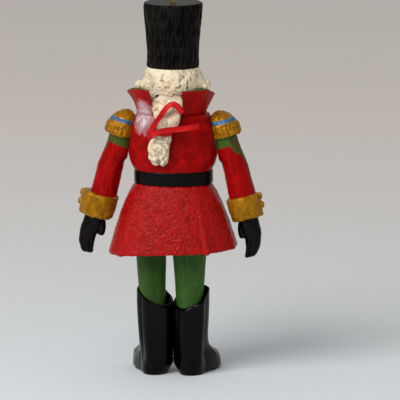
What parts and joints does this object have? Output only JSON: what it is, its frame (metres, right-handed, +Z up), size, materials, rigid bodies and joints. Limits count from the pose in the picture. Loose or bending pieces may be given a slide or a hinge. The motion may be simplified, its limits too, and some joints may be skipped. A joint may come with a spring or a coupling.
{
  "type": "nutcracker ornament",
  "caption": "Painted wooden nutcracker soldier that stands on its boots or hangs by an eye, with arms that turn on shoulder pegs and a jaw worked by lifting the hair queue.",
  "frame": {"origin": "on the floor plane under the soles, on the figure's upright axis, which is the middle of its width and depth", "axes": "+Z up through the hat; the figure faces -Y; +X is the figure's left"},
  "size_m": [0.0694, 0.0358, 0.1457],
  "materials": {
    "red_coat": "brushed satin paint",
    "black_belt": "satin paint",
    "gold_trim": "metallic paint",
    "gold_paint": "metallic paint",
    "bare_wood": "bare",
    "green_legs": "satin paint",
    "black_boots": "gloss paint",
    "black_gloves": "satin paint",
    "skin": "satin paint",
    "white_hair": "rough paint",
    "black_hat": "brushed paint",
    "brass": "polished",
    "steel": "drawn wire",
    "red_ribbon": "satin"
  },
  "bodies": {
    "figure": {"torso": "red_coat", "skirt": "red_coat", "belt": "black_belt", "belt_buckle": "gold_trim", "coat_buttons": "gold_trim", "waist_peg": "bare_wood", "left_leg": "green_legs", "right_leg": "green_legs", "left_boot": "black_boots", "right_boot": "black_boots", "left_collar": "red_coat", "right_collar": "red_coat", "head": "skin", "nose": "skin", "moustache": "white_hair", "hair": "white_hair", "neck_pegs": "bare_wood", "hat": "black_hat", "hat_peg": "bare_wood", "hanging_eye": "brass", "jaw_pin": "steel", "left_shoulder_peg": "bare_wood", "right_shoulder_peg": "bare_wood"},
    "jaw": {"jaw": "skin", "beard": "white_hair", "queue": "white_hair", "ribbon_band": "red_ribbon", "ribbon_knot": "red_ribbon", "ribbon_loop": "red_ribbon", "ribbon_tail": "red_ribbon"},
    "left_arm": {"left_sleeve": "red_coat", "left_epaulette": "gold_paint", "left_cuff": "gold_paint", "left_cuff_buttons": "gold_paint", "left_hand": "black_gloves"},
    "right_arm": {"right_sleeve": "red_coat", "right_epaulette": "gold_paint", "right_cuff": "gold_paint", "right_cuff_buttons": "gold_paint", "right_hand": "black_gloves"}
  },
  "joints": [
    {"name": "left_shoulder", "type": "hinge", "parent": "figure", "child": "left_arm", "pos_m": [0.0149, 0, 0.0925], "axis": [-0.9848, 0, -0.1736], "range_deg": [-60, 135]},
    {"name": "right_shoulder", "type": "hinge", "parent": "figure", "child": "right_arm", "pos_m": [-0.0149, 0, 0.0925], "axis": [-0.9848, 0, 0.1736], "range_deg": [-60, 135]},
    {"name": "jaw_hinge", "type": "hinge", "parent": "figure", "child": "jaw", "pos_m": [0, 0.0045, 0.1065], "axis": [1, 0, 0], "range_deg": [0, 12]}
  ]
}
